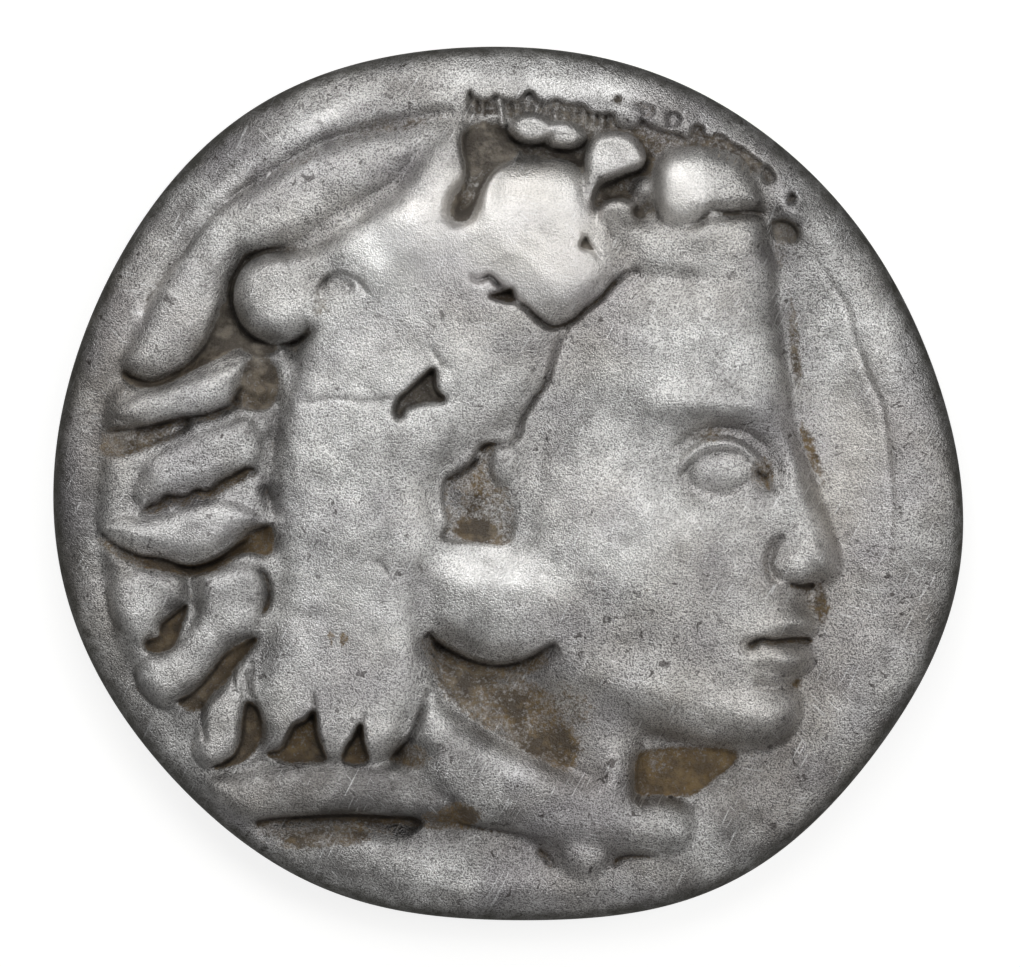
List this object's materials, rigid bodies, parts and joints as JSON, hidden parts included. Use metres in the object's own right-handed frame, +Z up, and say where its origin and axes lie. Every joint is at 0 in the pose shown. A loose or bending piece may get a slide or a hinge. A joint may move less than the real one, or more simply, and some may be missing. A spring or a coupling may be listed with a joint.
{
  "type": "ancient silver drachm",
  "caption": "Small thick hand-struck silver coin, lying flat: young head in a lion-skin cap facing right, beaded border, worn rim and a dished reverse.",
  "frame": {"origin": "centre of the flan at the plane it rests on", "axes": "+Z up out of the struck head side, +X the way the head faces, +Y to the top of the head"},
  "size_m": [0.0176, 0.0168, 0.0025],
  "materials": {
    "silver": "worn ancient silver, satin on the high parts, brown deposits in the hollows, dark toned edge"
  },
  "bodies": {
    "root": {"drachm": "silver"}
  },
  "joints": []
}
